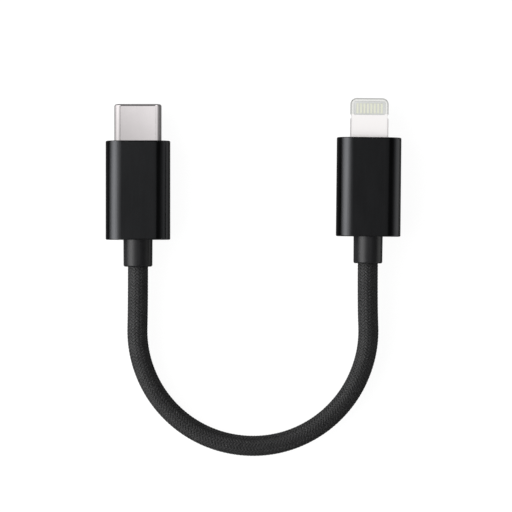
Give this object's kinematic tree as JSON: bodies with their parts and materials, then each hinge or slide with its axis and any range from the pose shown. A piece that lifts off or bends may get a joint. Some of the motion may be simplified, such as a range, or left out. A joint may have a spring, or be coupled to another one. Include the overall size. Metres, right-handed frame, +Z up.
{
  "type": "charging cable",
  "caption": "Short charging cable: a woven cord between an oval reversible plug and a flat tab plug, each in a straight black metal sleeve with a moulded strain relief.",
  "frame": {"origin": "on the table, under the centre of the box round the two plugs, without the cord", "axes": "+Z up from the table; +Y the way the plugs point; +X from the oval plug towards the tab plug"},
  "size_m": [0.0517, 0.0626, 0.0058],
  "materials": {
    "black_sleeve": "satin black anodised aluminium",
    "strain_relief": "matt moulded elastomer",
    "ferrule": "plain",
    "screening_can": "tinned",
    "front_cap": "fine",
    "steel_shell": "nickel plated",
    "dark_resin": "fine moulded",
    "spring_steel": "plain",
    "gilded_contacts": "gilded",
    "circuit_board": "solder mask",
    "chips": "moulded",
    "inner_mould": "moulded",
    "tab_metal": "satin nickel",
    "contact_insert": "fine moulded",
    "woven_sleeve": "fine weave",
    "jacket": "smooth",
    "screen": "wrapped strands",
    "red_wire": "smooth",
    "black_wire": "smooth",
    "green_wire": "smooth",
    "white_wire": "smooth",
    "copper": "bare copper"
  },
  "bodies": {
    "cable": {"oval_sleeve": "black_sleeve", "oval_strain_relief": "strain_relief", "oval_ferrule": "ferrule", "oval_upper_can": "screening_can", "oval_lower_can": "screening_can", "oval_front_cap": "front_cap", "oval_shell": "steel_shell", "oval_front_guide": "dark_resin", "oval_mid_plate": "spring_steel", "oval_circuit_board": "circuit_board", "oval_upper_contact_tails": "gilded_contacts", "oval_upper_contact_block": "dark_resin", "oval_lower_contact_tails": "gilded_contacts", "oval_lower_contact_block": "dark_resin", "oval_chips": "chips", "oval_inner_mould": "inner_mould", "tab_sleeve": "black_sleeve", "tab_strain_relief": "strain_relief", "tab_ferrule": "ferrule", "tab_upper_can": "screening_can", "tab_lower_can": "screening_can", "tab_front_cap": "front_cap", "tab_metal_body": "tab_metal", "tab_contact_insert": "contact_insert", "tab_circuit_board": "circuit_board", "tab_upper_contacts": "gilded_contacts", "tab_lower_contacts": "gilded_contacts", "tab_chips": "chips", "tab_inner_mould": "inner_mould", "cord_woven_sleeve": "woven_sleeve", "cord_jacket": "jacket", "cord_screen": "screen", "cord_power_wire": "red_wire", "cord_ground_wire": "black_wire", "cord_data_plus_wire": "green_wire", "cord_data_minus_wire": "white_wire", "cord_copper_cores": "copper"},
    "upper_contacts": {"oval_upper_contacts": "gilded_contacts"},
    "lower_contacts": {"oval_lower_contacts": "gilded_contacts"},
    "left_latch": {"oval_left_latch": "spring_steel"},
    "right_latch": {"oval_right_latch": "spring_steel"},
    "upper_ground_spring": {"oval_upper_ground_spring": "spring_steel"},
    "lower_ground_spring": {"oval_lower_ground_spring": "spring_steel"}
  },
  "joints": [
    {"name": "left_latch_flex", "type": "hinge", "parent": "cable", "child": "left_latch", "pos_m": [-0.02343, 0.00256, 0.0029], "axis": [0, 0, 1], "range_deg": [0, 1.4], "stiffness_Nm_per_rad": 0.64},
    {"name": "right_latch_flex", "type": "hinge", "parent": "cable", "child": "right_latch", "pos_m": [-0.01675, 0.00256, 0.0029], "axis": [0, 0, -1], "range_deg": [0, 1.4], "stiffness_Nm_per_rad": 0.64},
    {"name": "upper_contacts_flex", "type": "hinge", "parent": "cable", "child": "upper_contacts", "pos_m": [-0.02009, 0.00656, 0.00342], "axis": [1, 0, 0], "range_deg": [0, 1.5], "stiffness_Nm_per_rad": 0.49},
    {"name": "lower_contacts_flex", "type": "hinge", "parent": "cable", "child": "lower_contacts", "pos_m": [-0.02009, 0.00656, 0.00238], "axis": [-1, 0, 0], "range_deg": [0, 1.5], "stiffness_Nm_per_rad": 0.49},
    {"name": "upper_ground_spring_flex", "type": "hinge", "parent": "cable", "child": "upper_ground_spring", "pos_m": [-0.02009, 0.01206, 0.00376], "axis": [1, 0, 0], "range_deg": [0, 3], "stiffness_Nm_per_rad": 0.026},
    {"name": "lower_ground_spring_flex", "type": "hinge", "parent": "cable", "child": "lower_ground_spring", "pos_m": [-0.02009, 0.01206, 0.00204], "axis": [-1, 0, 0], "range_deg": [0, 3], "stiffness_Nm_per_rad": 0.026}
  ]
}
